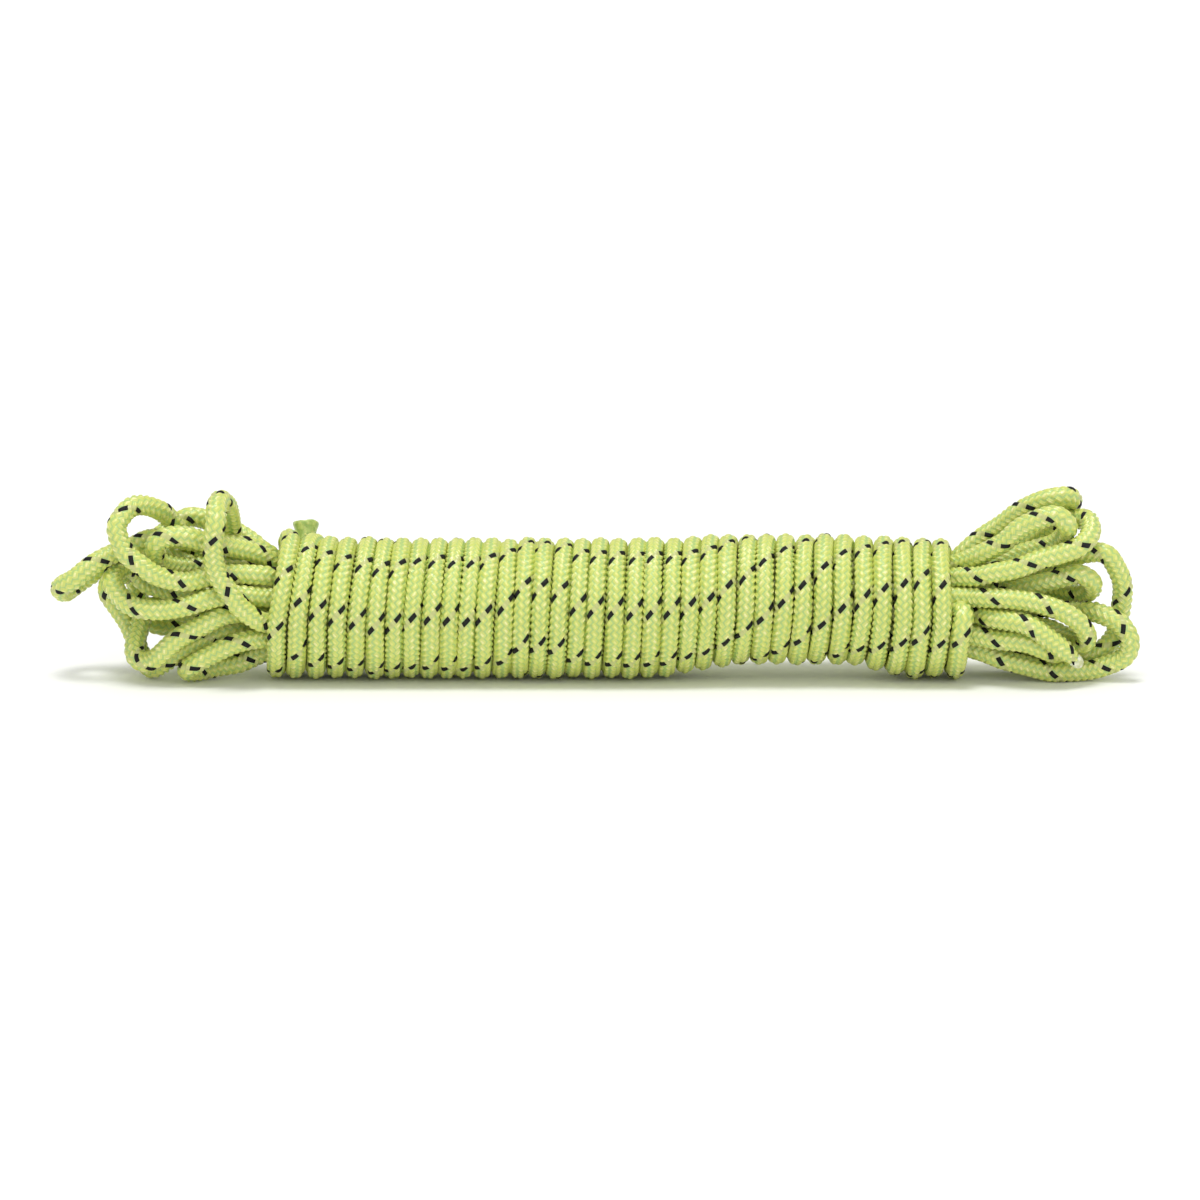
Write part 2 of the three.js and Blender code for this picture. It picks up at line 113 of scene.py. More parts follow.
# Loops past the two ends of the coil, in the order in which the cord makes them
LEFT_LOOPS = [
    (
        (-0.1, -0.01, 0.022), (-0.106, -0.012, 0.023), (-0.111, -0.014, 0.023), (-0.115, -0.015, 0.021),
        (-0.12, -0.015, 0.018), (-0.125, -0.015, 0.015), (-0.129, -0.014, 0.011), (-0.132, -0.012, 0.008),
        (-0.136, -0.01, 0.007), (-0.138, -0.008, 0.009), (-0.138, -0.005, 0.012), (-0.137, -0.002, 0.015),
        (-0.136, 0.001, 0.019), (-0.133, 0.004, 0.022), (-0.123, 0.006, 0.02), (-0.111, 0.005, 0.015),
        (-0.102, 0.003, 0.011),
    ),
    (
        (-0.1, -0.012, 0.027), (-0.107, -0.014, 0.028), (-0.114, -0.015, 0.027), (-0.122, -0.016, 0.025),
        (-0.128, -0.016, 0.024), (-0.134, -0.016, 0.024), (-0.139, -0.014, 0.025), (-0.143, -0.011, 0.028),
        (-0.145, -0.007, 0.032), (-0.143, -0.003, 0.034), (-0.139, 0.001, 0.033), (-0.136, 0.003, 0.028),
        (-0.131, 0.004, 0.025), (-0.12, 0.005, 0.022), (-0.11, 0.005, 0.019), (-0.1, 0.004, 0.017),
    ),
    (
        (-0.102, 0.013, 0.022), (-0.113, 0.014, 0.027), (-0.12, 0.012, 0.034), (-0.124, 0.008, 0.04),
        (-0.126, 0.003, 0.045), (-0.129, -0.001, 0.05), (-0.131, -0.004, 0.052), (-0.135, -0.007, 0.054),
        (-0.139, -0.01, 0.054), (-0.141, -0.012, 0.052), (-0.143, -0.014, 0.049), (-0.142, -0.015, 0.045),
        (-0.14, -0.016, 0.041), (-0.136, -0.017, 0.038), (-0.132, -0.017, 0.035), (-0.127, -0.016, 0.033),
        (-0.122, -0.015, 0.032), (-0.115, -0.013, 0.033), (-0.108, -0.012, 0.033), (-0.1, -0.011, 0.033),
    ),
    (
        (-0.1, 0.01, 0.037), (-0.105, 0.012, 0.04), (-0.111, 0.014, 0.043), (-0.117, 0.015, 0.045),
        (-0.122, 0.015, 0.046), (-0.127, 0.015, 0.043), (-0.133, 0.015, 0.038), (-0.137, 0.015, 0.032),
        (-0.138, 0.015, 0.025), (-0.137, 0.014, 0.0195), (-0.135, 0.013, 0.015), (-0.132, 0.012, 0.0135),
        (-0.129, 0.012, 0.013), (-0.124, 0.012, 0.0128), (-0.116, 0.012, 0.013), (-0.102, 0.011, 0.013),
    ),
    (
        (-0.1, -0.003, 0.008), (-0.107, -0.003, 0.005), (-0.113, -0.003, 0.004), (-0.118, -0.004, 0.003),
        (-0.122, -0.007, 0.004), (-0.123, -0.01, 0.006), (-0.12, -0.013, 0.008), (-0.114, -0.014, 0.011),
        (-0.107, -0.014, 0.014), (-0.1, -0.012, 0.015),
    ),
    (
        (-0.102, 0.009, 0.015), (-0.114, 0.012, 0.021), (-0.126, 0.013, 0.028), (-0.135, 0.011, 0.033),
        (-0.142, 0.008, 0.033), (-0.146, 0.005, 0.031), (-0.147, 0.004, 0.027), (-0.144, 0.004, 0.022),
        (-0.14, 0.004, 0.016), (-0.138, 0.003, 0.011), (-0.136, 0.001, 0.006), (-0.133, -0.003, 0.003),
        (-0.129, -0.007, 0.005), (-0.124, -0.009, 0.008), (-0.118, -0.009, 0.012), (-0.11, -0.008, 0.015),
        (-0.101, -0.005, 0.016),
    ),
    (
        (-0.101, 0.003, 0.033), (-0.108, 0.001, 0.033), (-0.116, -0.001, 0.034), (-0.122, -0.003, 0.034),
        (-0.127, -0.005, 0.035), (-0.131, -0.008, 0.037), (-0.132, -0.011, 0.041), (-0.131, -0.013, 0.044),
        (-0.127, -0.014, 0.046), (-0.122, -0.014, 0.046), (-0.116, -0.012, 0.044), (-0.11, -0.008, 0.042),
        (-0.101, -0.004, 0.039),
    ),
    (
        (-0.104, 0.001, 0.03), (-0.113, 0.003, 0.031), (-0.122, 0.005, 0.034), (-0.132, 0.007, 0.0352),
        (-0.14, 0.008, 0.034), (-0.146, 0.008, 0.031), (-0.152, 0.008, 0.028), (-0.156, 0.007, 0.026),
        (-0.159, 0.003, 0.025), (-0.16, -0.003, 0.028), (-0.156, -0.007, 0.031), (-0.151, -0.007, 0.035),
        (-0.145, -0.006, 0.038), (-0.138, -0.005, 0.041), (-0.134, -0.004, 0.043), (-0.126, -0.002, 0.043),
        (-0.117, 0.001, 0.041), (-0.107, 0.003, 0.04), (-0.099, 0.005, 0.037),
    ),
    (
        (-0.101, 0.007, 0.028), (-0.105, 0.008, 0.035), (-0.108, 0.006, 0.042), (-0.109, 0.002, 0.048),
        (-0.11, -0.003, 0.053), (-0.112, -0.009, 0.056), (-0.113, -0.015, 0.055), (-0.113, -0.019, 0.052),
        (-0.114, -0.02, 0.046), (-0.114, -0.02, 0.041), (-0.113, -0.02, 0.036), (-0.11, -0.02, 0.031),
        (-0.107, -0.019, 0.026), (-0.103, -0.018, 0.022), (-0.099, -0.015, 0.019),
    ),
]
RIGHT_LOOPS = [
    (
        (0.117, 0.003, 0.011), (0.126, 0.003, 0.013), (0.135, 0.002, 0.013), (0.141, 0.0, 0.01),
        (0.145, -0.005, 0.01), (0.147, -0.01, 0.013), (0.146, -0.013, 0.017), (0.143, -0.015, 0.021),
        (0.138, -0.016, 0.024), (0.132, -0.016, 0.026), (0.124, -0.015, 0.027), (0.117, -0.013, 0.027),
        (0.113, -0.011, 0.027),
    ),
    (
        (0.117, -0.002, 0.023), (0.124, -0.005, 0.027), (0.133, -0.007, 0.03), (0.14, -0.007, 0.032),
        (0.145, -0.007, 0.033), (0.148, -0.006, 0.031), (0.149, -0.003, 0.028), (0.147, 0.001, 0.025),
        (0.143, 0.005, 0.024), (0.136, 0.009, 0.024), (0.124, 0.011, 0.022), (0.117, 0.012, 0.021),
    ),
    (
        (0.114, -0.011, 0.032), (0.119, -0.013, 0.034), (0.126, -0.014, 0.036), (0.133, -0.014, 0.039),
        (0.14, -0.013, 0.041), (0.145, -0.011, 0.043), (0.148, -0.007, 0.046), (0.148, -0.002, 0.049),
        (0.146, 0.003, 0.05), (0.141, 0.007, 0.049), (0.136, 0.009, 0.045), (0.13, 0.01, 0.04),
        (0.123, 0.011, 0.035), (0.117, 0.011, 0.032),
    ),
    (
        (0.117, 0.009, 0.017), (0.126, 0.008, 0.019), (0.135, 0.004, 0.02), (0.144, -0.001, 0.02),
        (0.149, -0.004, 0.021), (0.153, -0.006, 0.02), (0.157, -0.007, 0.018), (0.16, -0.007, 0.013),
        (0.159, -0.006, 0.008), (0.154, -0.005, 0.005), (0.147, -0.004, 0.003), (0.139, -0.004, 0.003),
        (0.13, -0.006, 0.005), (0.122, -0.007, 0.007), (0.116, -0.006, 0.009),
    ),
    (
        (0.114, -0.011, 0.015), (0.121, -0.013, 0.014), (0.129, -0.014, 0.013), (0.135, -0.013, 0.01),
        (0.139, -0.01, 0.007), (0.142, -0.005, 0.005), (0.141, 0.001, 0.004), (0.136, 0.005, 0.004),
        (0.127, 0.007, 0.005), (0.117, 0.007, 0.007),
    ),
    (
        (0.117, 0.002, 0.011), (0.127, 0.003, 0.008), (0.136, 0.003, 0.005), (0.144, -0.001, 0.005),
        (0.149, -0.001, 0.006), (0.153, -0.001, 0.009), (0.156, 0.0, 0.013), (0.157, 0.0, 0.018),
        (0.158, 0.0, 0.024), (0.158, -0.001, 0.029), (0.156, -0.001, 0.034), (0.153, -0.001, 0.038),
        (0.148, 0.0, 0.038), (0.139, 0.003, 0.035), (0.127, 0.005, 0.03), (0.117, 0.006, 0.025),
    ),
    (
        (0.112, -0.004, 0.037), (0.117, -0.007, 0.04), (0.122, -0.009, 0.043), (0.127, -0.011, 0.048),
        (0.133, -0.012, 0.051), (0.138, -0.012, 0.052), (0.141, -0.011, 0.049), (0.141, -0.008, 0.046),
        (0.138, -0.005, 0.042), (0.133, -0.003, 0.04), (0.127, -0.002, 0.038), (0.121, -0.002, 0.035),
        (0.116, -0.003, 0.031),
    ),
    (
        (0.111, 0.006, 0.039), (0.117, 0.006, 0.043), (0.122, 0.005, 0.046), (0.127, 0.003, 0.05),
        (0.133, 0.001, 0.053), (0.138, 0.0, 0.054), (0.142, 0.002, 0.053), (0.143, 0.005, 0.05),
        (0.141, 0.009, 0.048), (0.135, 0.012, 0.047), (0.127, 0.013, 0.043), (0.12, 0.011, 0.037),
        (0.115, 0.008, 0.031),
    ),
]
END_B_TAIL = (
    (0.144, -0.015, 0.008), (0.14, -0.017, 0.012), (0.135, -0.018, 0.016), (0.129, -0.018, 0.02),
    (0.121, -0.015, 0.021), (0.117, -0.012, 0.021), (0.114, -0.009, 0.021),
)
LEAD_IN = (
    (0.1093, -0.0116, 0.0216), (0.1114, -0.0146, 0.0225), (0.1112, -0.0177, 0.0205),
    (0.111, -0.0169, 0.0156), (0.111, -0.0144, 0.0106), (0.111, -0.0105, 0.0067), (0.111, -0.0055, 0.0042),
    (0.1108, 0.0, 0.0033),
)

# The last run comes out of the coil here and turns down into the first wrap
INTO_WRAP = (
    (0.1045, -0.0118, 0.0215), (0.1072, -0.0126, 0.0226), (0.1093, -0.0146, 0.0234), (0.1101, -0.017, 0.0224),
)
FIRST_WRAP_ANGLE = math.radians(-6)

# The last wrap goes in under its neighbours at the back and comes up between them as a short end.
# The angle is from level, at the back, and END_A_OUT holds distances from the coil's axis.
END_A_PLACE = -0.087
END_A_TURN = 1.34
END_A_ANGLE = math.radians(62)
END_A_UNDER = (
    (-0.0953, 0.0075, 0.0052), (-0.0948, 0.0128, 0.0105), (-0.0924, 0.0146, 0.0175), (-0.09, 0.0138, 0.0245),
    (-0.0882, 0.0111, 0.0289), (-0.0873, 0.009, 0.0319), (-0.087, 0.0085, 0.0347),
)
END_A_OUT = (0.0185, 0.0215, 0.0245, 0.0262)

# The wraps on both sides of end A are pushed apart by it, most where it comes out
PUSHED_ASIDE = 0.0026
PUSHED_LENGTH = 0.006
PUSHED_ANGLE = 0.4

# End B is drawn out thinner towards its tip
END_B_TAPER = 0.006
END_B_THINNER = 0.38

# Settling, as in the CAD model: strands are moved apart until they touch without crossing
STATION = 0.003
CLEARANCE = 0.0065
NEARBY = 1.8 * CLEARANCE
SAME_STRAND_SKIP = 3
ROUNDS = 600
ROUNDS_BETWEEN_SEARCHES = 10
SMOOTHING = 0.3
RECALL = 0.015
ANCHOR_DEPTH = 0.006

# At the coil's faces the strands are held in a bundle about its axis, which opens out past them
BUNDLE_RADIUS = 0.0119
OPENING_FROM = -0.002
OPENING_SLOPE = 0.9
FREE_FROM = 0.0045
FIRST_WRAP = 0.0051
LEFT_SET_BACK = 0.0016
TOP_FADE = 0.01
LOWEST = 0.0031


# ---------------------------------------------------------------- route


def smoothstep(x, low, high):
    t = np.clip((x - low) / (high - low), 0, 1)
    return t * t * (3 - 2 * t)


def waist(x):
    rise, flat, fall, end = WAIST
    return smoothstep(x, rise, flat) * (1 - smoothstep(x, fall, end))


def slot_point(run, x):
    ring, place = RUN_SLOTS[run]
    angle = math.pi * place / (3 * ring)
    radius = RING_RADII[ring]
    return (x, radius * math.cos(angle), AXIS_HEIGHT + radius * math.sin(angle) + WAIST_LIFT * waist(x))


def distance_along(points):
    return np.concatenate([[0], np.cumsum(np.linalg.norm(np.diff(points, axis=0), axis=1))])


def running_mean(values, reach):
    """Each value's mean with its neighbours, as many as reach on each side."""
    count = 2 * reach + 1
    return np.convolve(np.pad(values, reach, mode="edge"), np.ones(count) / count, mode="valid")


def through(places, t):
    """Points at t, from 0 to 1, on a centripetal Catmull-Rom curve through the places."""
    p = np.asarray(places, float)
    ends = np.vstack([2 * p[0] - p[1], p, 2 * p[-1] - p[-2]])
    place = np.asarray(t) * (len(p) - 1)
    index = np.minimum(place.astype(int), len(p) - 2)
    weight = (place - index)[:, None]
    a, b, c, d = (ends[index + k] for k in range(4))
    ab, bc, cd = (np.sqrt(np.linalg.norm(q - r, axis=1))[:, None] for q, r in ((a, b), (b, c), (c, d)))
    leave = ((b - a) / ab - (c - a) / (ab + bc) + (c - b) / bc) * bc
    arrive = ((c - b) / bc - (d - b) / (bc + cd) + (d - c) / cd) * bc
    square = -3 * b + 3 * c - 2 * leave - arrive
    cube = 2 * b - 2 * c + leave + arrive
    return b + leave * weight + square * weight**2 + cube * weight**3


def evenly(places, spacing):
    """Points about a spacing apart along the smooth curve through the places."""
    t = np.linspace(0, 1, 201)
    along = distance_along(through(places, t))
    count = int(along[-1] / spacing + 0.5)
    return through(places, np.interp(np.linspace(0, along[-1], count + 1), along, t))


def strand(points, face, first_run, last_run, on_coil=False):
    """A strand to settle: the points, with each end led to its run inside that face of the coil."""
    inside = face - math.copysign(ANCHOR_DEPTH, face)
    places = [slot_point(first_run, inside), *points]
    if last_run is not None:
        places.append(slot_point(last_run, inside))
    return {"face": face, "start": evenly(places, STATION), "on_coil": on_coil}


def bundle_end(face, z):
    """Where the bundle ends. On the right the first wrap holds it further out, below and in front only."""
    top_share = np.clip((z - AXIS_HEIGHT) / TOP_FADE, 0, 1)
    return face + np.where(face < 0, LEFT_SET_BACK * top_share, FIRST_WRAP * (1 - top_share))


def settle(strands):
    """Moves strands apart and evens the shift out along each, off the ground and out of the coil."""
    start = np.vstack([s["start"] for s in strands])
    owner = np.repeat(np.arange(len(strands)), [len(s["start"]) for s in strands])
    index = np.concatenate([np.arange(len(s["start"])) for s in strands])
    face = np.concatenate([np.full(len(s["start"]), s["face"]) for s in strands])
    free = np.concatenate([np.full(len(s["start"]), not s["on_coil"]) for s in strands])
    far_along = (owner[:, None] != owner) | (abs(index[:, None] - index) > SAME_STRAND_SKIP)
    first = index == 0
    last = np.append(first[1:], True)
    pinned = first | last
    now = start.copy()
    for round_number in range(ROUNDS):
        if round_number % ROUNDS_BETWEEN_SEARCHES == 0:
            distance = np.linalg.norm(now[:, None] - now, axis=2)
            a, b = np.nonzero((distance < NEARBY) & far_along)
        apart = now[a] - now[b]
        distance = np.linalg.norm(apart, axis=1)
        push = np.maximum(CLEARANCE - distance, 0) / (4 * np.maximum(distance, 0.0001))
        shift = [np.bincount(a, push * apart[:, axis], len(now)) for axis in range(3)]
        moved = now + np.stack(shift, axis=1) - start
        middle = (np.roll(moved, 1, axis=0) + np.roll(moved, -1, axis=0)) / 2
        moved = (1 - RECALL) * (moved + SMOOTHING * (middle - moved))
        moved[pinned] = 0
        now = start + moved
        now[:, 2] = np.maximum(now[:, 2], LOWEST)
        past = np.sign(face) * (now[:, 0] - bundle_end(face, now[:, 2]))
        limit = BUNDLE_RADIUS + OPENING_SLOPE * np.maximum(past - OPENING_FROM, 0)
        radius = np.hypot(now[:, 1], now[:, 2] - AXIS_HEIGHT)
        squeezed = (past <= FREE_FROM) & (radius >= limit) & free
        share = np.where(squeezed, limit / radius, 1)
        now[:, 1] *= share
        now[:, 2] = AXIS_HEIGHT + (now[:, 2] - AXIS_HEIGHT) * share
    cuts = np.flatnonzero(first)[1:]
    return np.split(now, cuts)


def wander(t, seed):
    """A smooth irregularity along the wrap: a few sine waves of unrelated lengths."""
    rng = np.random.default_rng(seed)
    waves = zip(rng.uniform(0.6, 5.5, 6), rng.uniform(0, 2 * math.pi, 6))
    return UNEVENNESS * sum(np.sin(rate * t + phase) for rate, phase in waves) / math.sqrt(6)


def wrap_point(turn, angle):
    """A point of the wrap; turn counts from the left, and angle is 0 in front and a right angle on top."""
    turns, places = zip(*WRAP_PLACES)
    upward = np.sin(angle)
    x = np.interp(turn, turns, places)
    drawn_in = (DRAWN_IN + DRAWN_IN_MORE_ABOVE * upward) * abs(upward) * x / DRAWN_IN_AT
    x = x - drawn_in + LAST_LEAN * upward * np.exp(-turn / LEAN_TURNS)
    pushed = PUSHED_ASIDE * np.sign(turn - END_A_TURN) * np.exp(-abs(x - END_A_PLACE) / PUSHED_LENGTH)
    from_end_a = (angle - (math.pi - END_A_ANGLE) + math.pi) % (2 * math.pi) - math.pi
    x = x + pushed * np.exp(-((from_end_a / PUSHED_ANGLE) ** 2))
    x = x + wander(turn * 2.1, 5)
    radius = WRAP_RADIUS - WAIST_SLIMMER * waist(x) + wander(turn * 2.7, 11)
    radius = radius + LAST_LIFT * np.exp(-turn / LIFT_TURNS) * np.maximum(upward, 0)
    height = AXIS_HEIGHT + WAIST_LIFT * waist(x) + radius * upward
    return np.stack([x, -radius * np.cos(angle), np.maximum(height, LOWEST)], axis=-1)


def end_a_points():
    """In under the wraps at the back, and out between them to the tip."""
    axis = np.array([END_A_PLACE, 0.0, AXIS_HEIGHT])
    out = np.array([0.0, math.cos(END_A_ANGLE), math.sin(END_A_ANGLE)])
    return [*END_A_UNDER, *(axis + distance * out for distance in END_A_OUT)]


def whole_route():
    """The cord's centreline from end B to end A, and the stretch of it that is the wrapped coil."""
    left = settle([strand(p, COIL_LEFT, 2 * k, 2 * k + 1) for k, p in enumerate(LEFT_LOOPS)])
    right = [strand(p, COIL_RIGHT, 2 * k + 1, 2 * k + 2) for k, p in enumerate(RIGHT_LOOPS)]
    right.append(strand(END_B_TAIL[::-1], COIL_RIGHT, 0, None))
    right.append(strand(LEAD_IN, COIL_RIGHT, RUNS - 1, None, on_coil=True))
    right = settle(right)
    between = np.linspace(COIL_LEFT + ANCHOR_DEPTH, COIL_RIGHT - ANCHOR_DEPTH, 24)[1:-1]

    parts = [right[len(RIGHT_LOOPS)][::-1]]
    for k, loop in enumerate(left):
        parts.append([slot_point(2 * k, x) for x in between[::-1]])
        parts.append(loop)
        run_back = [slot_point(2 * k + 1, x) for x in between]
        if k < len(RIGHT_LOOPS):
            parts.append(run_back)
            parts.append(right[k])
        else:
            parts.append(run_back[:-1])
    parts.append(INTO_WRAP)

    steps = np.arange(0.0, WRAPPED_TURNS, 1 / WRAP_STEPS)
    angle = FIRST_WRAP_ANGLE - 2 * math.pi * steps
    parts.append(wrap_point(np.maximum(FIRST_TURN - steps, LAST_TURN), angle))
    parts.append(end_a_points())
    stations = np.vstack([np.asarray(p, float) for p in parts])
    lengths = np.cumsum([len(p) for p in parts])
    return stations + CENTRE_SHIFT, (lengths[-3], lengths[-2])


def resample(stations):
    """Points a line step apart on the smoothed curve through the stations, and their places along it."""
    dense = through(stations, np.linspace(0, 1, DENSE * len(stations)))
    dense = np.stack([running_mean(dense[:, axis], SMOOTH_REACH) for axis in range(3)], axis=1)
    along = distance_along(dense)
    count = int(along[-1] / LINE_STEP)
    s = np.linspace(0, along[-1], count + 1)
    return np.stack([np.interp(s, along, dense[:, axis]) for axis in range(3)], axis=1), s


# ---------------------------------------------------------------- braid


def unit(vectors):
    return vectors / np.linalg.norm(vectors, axis=-1, keepdims=True)


def turning_frames(points):
    """Along the line: its direction, and two square directions that turn as little as they can."""
    tangents = unit(np.gradient(points, axis=0))
    normals = np.empty_like(points)
    normals[0] = unit(np.cross(tangents[0], (0.31, 0.77, 0.55)))
    for k in range(1, len(points)):
        carried = normals[k - 1] - tangents[k] * (normals[k - 1] @ tangents[k])
        normals[k] = carried / math.sqrt(carried @ carried)
    return tangents, normals, np.cross(tangents, normals)


def tracer_turns(wrap_places):
    """Where along the cord the tracer crosses a wrap's front, and its whole turns up to each place."""
    wraps = np.arange(TURNS, 0, -1)
    heights = np.interp(wraps, *zip(*TRACER_HEIGHTS)) * CORD
    angles = np.arcsin(heights / (WRAP_RADIUS + CORD / 2)) + LOOK_DOWN
    crossing = TURNS - wraps + (FIRST_WRAP_ANGLE - angles) / (2 * math.pi)
    at = np.interp(crossing, np.arange(len(wrap_places)) / WRAP_STEPS, wrap_places)
    at = np.unique(at)
    whole = np.concatenate([[0], np.cumsum(np.round(np.diff(at) / BRAID_PITCH))])
    return at, whole


def cord_twist(s, points, normals, binormals, wrap_places):
    """Turn of the braid about the cord, which puts the tracer where it crosses the front of each wrap."""
    at, whole = tracer_turns(wrap_places)
    wrapped = slice(*np.searchsorted(s, (wrap_places[0], wrap_places[-1])))
    arched = AXIS_HEIGHT + WAIST_LIFT * waist(points[wrapped, 0])
    outward = np.zeros_like(points[wrapped])
    outward[:, 1] = points[wrapped, 1] - CENTRE_SHIFT[1]
    outward[:, 2] = points[wrapped, 2] - arched
    facing = np.unwrap(np.arctan2(
        (outward * binormals[wrapped]).sum(axis=1),
        (outward * normals[wrapped]).sum(axis=1),
    ))
    before = np.interp(s[wrapped], at, whole)
    before += np.minimum(s[wrapped] - at[0], 0) / BRAID_PITCH
    before += np.maximum(s[wrapped] - at[-1], 0) / BRAID_PITCH
    middle_of_yarn = 2 * math.pi * (TRACER_CARRIER + 0.5) / CARRIERS_EACH_WAY
    twist = 2 * math.pi * (s[wrapped] / BRAID_PITCH - before) + middle_of_yarn - facing
    return np.interp(s, s[wrapped], running_mean(twist, TWIST_SMOOTHING))


def float_at(u, v, n):
    """The two carriers that cross at a place on the braid, the phase of the crossing, and which is on top."""
    i = np.floor_divide(u, n)
    j = np.floor_divide(v, n)
    phase = (i + j) % 4
    return i, j, phase, phase < 2


def place_on_float(u, v, n, crossing):
    """How far across and along the float on top a place of the braid is, each from 0 to 1."""
    i, j, phase, right_handed = crossing
    a = u / n - i
    b = v / n - j
    across = np.where(right_handed, a, b)
    along = np.where(right_handed, phase + b, phase - 2 + a) / 2
    return across, along


def relief(u, v, n):
    across, along = place_on_float(u, v, n, float_at(u, v, n))
    rounded = 1 - np.abs(2 * across - 1) ** BLUNT_ACROSS
    crowned = np.sin(math.pi * along) ** BLUNT_ALONG
    return rounded * crowned


# Each pale shade follows the one that it varies
# The crest shades hold painted highlights, and the groove shade holds painted shade
SHADES = (
    "yarn_painted_highlight", "yarn_painted_highlight_pale", "yarn_side", "yarn_side_pale", "yarn_painted_groove_shade",
    "tracer_painted_highlight", "tracer_side", "over_tracer",
)
PALE_FROM = 0.62
# Faces this near a float's middle get a lighter colour, a painted highlight
PAINTED_HIGHLIGHT_REACH = 0.2
# Faces this far from a float's middle, at its ends where it dips under its neighbours, get a darker, greener
# colour: painted shade
PAINTED_SHADE_FROM = 0.4


def shade_of(u, v, n):
    """Index into SHADES for the faces whose lowest corner in the braid's grid is u, v."""
    crossing = float_at(u + 0.5, v + 0.5, n)
    across, along = place_on_float(u + 0.5, v + 0.5, n, crossing)
    i, j, phase, right_handed = crossing
    carrier = np.where(right_handed, i, j) % CARRIERS_EACH_WAY
    place = np.where(right_handed, i - j + phase, i - j - phase + 2)
    scattered = np.sin(carrier * 12.9898 + place * 78.233 + right_handed * 37.7) * 43758.5453 % 1
    pale = scattered > PALE_FROM
    from_middle = np.abs(along - 0.5)
    # A float's middle is painted lighter: a painted highlight
    painted_highlight_mask = (np.abs(across - 0.5) < PAINTED_HIGHLIGHT_REACH) & (from_middle < PAINTED_HIGHLIGHT_REACH)
    shade = np.where(painted_highlight_mask, SHADES.index("yarn_painted_highlight"), SHADES.index("yarn_side")) + pale
    # A float's ends are painted darker: painted shade in the dips between floats
    shade = np.where(from_middle > PAINTED_SHADE_FROM, SHADES.index("yarn_painted_groove_shade"), shade)
    tracer = right_handed & (carrier == TRACER_CARRIER)
    # The black tracer's middle is painted lighter too: a painted highlight
    black = np.where(painted_highlight_mask, SHADES.index("tracer_painted_highlight"), SHADES.index("tracer_side"))
    shade = np.where(tracer, black, shade)
    over_tracer = ~right_handed & (i % CARRIERS_EACH_WAY == TRACER_CARRIER)
    return np.where(over_tracer, SHADES.index("over_tracer"), shade)


def braid_surface(line, row, u, v, n):
    """The vertices of a stretch of cord, one row after another."""
    around = CARRIERS_EACH_WAY * n
    s = np.minimum(row * BRAID_PITCH / (2 * around), line["s"][-1])
    centre, normal, binormal = (
        np.stack([np.interp(s, line["s"], line[key][:, k]) for k in range(3)], axis=1)
        for key in ("points", "normals", "binormals")
    )
    twist, pressed, girth = (
        np.interp(s, line["s"], line[key])[:, None] for key in ("twist", "pressed", "girth")
    )
    angle = 2 * math.pi * (np.arange(around) + (row % 2)[:, None] / 2) / around - twist
    radius = (FLOOR_OF_BRAID + RELIEF * relief(u, v, n)) * girth
    offset = normal[:, None] * (radius * np.cos(angle))[:, :, None]
    offset += binormal[:, None] * (radius * np.sin(angle))[:, :, None]
    offset[:, :, 0] *= pressed
    return (centre[:, None] + offset).reshape(-1, 3)


def braid_section(line, s_from, s_to, n):
    """Vertices, faces, UVs and shades of a stretch of cord; the grid's lines run along the carriers."""
    around = CARRIERS_EACH_WAY * n
    row_step = BRAID_PITCH / (2 * around)
    first = 2 * int(s_from / row_step / 2)
    last = 2 * int(s_to / row_step / 2)
    row = np.arange(first, last + 1)
    column = np.arange(around)
    shifted = (row % 2)[:, None]
    u = column + (shifted - row[:, None]) // 2
    v = column + (shifted + row[:, None]) // 2
    vertices = braid_surface(line, row, u, v, n)

    base = row[:-2, None] - first
    right = (column + shifted[:-2]) % around
    left = (right - 1) % around
    faces = np.stack([
        base * around + column,
        (base + 1) * around + right,
        (base + 2) * around + column,
        (base + 1) * around + left,
    ], axis=-1).reshape(-1, 4)
    low_u = u[:-2] - 1
    low_v = v[:-2]
    crossing = float_at(low_u + 0.5, low_v + 0.5, n)
    corners = ((1, 0), (1, 1), (0, 1), (0, 0))
    uv = [np.stack(place_on_float(low_u + du, low_v + dv, n, crossing), axis=-1) for du, dv in corners]
    uv = np.stack(uv, axis=2).reshape(-1, 2)
    return vertices, faces, uv, shade_of(low_u, low_v, n).reshape(-1)


def hidden_stretches(line):
    """Where the cord runs lengthwise inside the coil, out of sight."""
    x = line["points"][:, 0] - CENTRE_SHIFT[0]
    deep = (x > COIL_LEFT + HIDDEN_DEPTH) & (x < COIL_RIGHT - HIDDEN_DEPTH)
    inside = deep & (line["s"] < line["wrap_from"])
    edges = np.flatnonzero(np.diff(inside.astype(int)))
    ends = np.round(line["s"][edges] / BRAID_PITCH) * BRAID_PITCH
    return ends.reshape(-1, 2)


def new_mesh(name, vertices, faces, material_list, face_material, uv):
    mesh = bpy.data.meshes.new(name)
    mesh.vertices.add(len(vertices))
    mesh.vertices.foreach_set("co", np.ascontiguousarray(vertices, dtype=np.float32).ravel())
    corners = faces.shape[1]
    mesh.loops.add(faces.size)
    mesh.loops.foreach_set("vertex_index", faces.astype(np.int32).ravel())
    mesh.polygons.add(len(faces))
    mesh.polygons.foreach_set("loop_start", np.arange(0, faces.size, corners, dtype=np.int32))
    for material in material_list:
        mesh.materials.append(material)
    mesh.polygons.foreach_set("material_index", face_material.astype(np.int32))
    mesh.uv_layers.new(name="float").data.foreach_set("uv", uv.astype(np.float32).ravel())
    mesh.update()
    mesh.shade_smooth()
    mesh.validate()
    return add_object(name, mesh)


def add_object(name, data):
    piece = bpy.data.objects.new(name, data)
    bpy.context.scene.collection.objects.link(piece)
    return piece


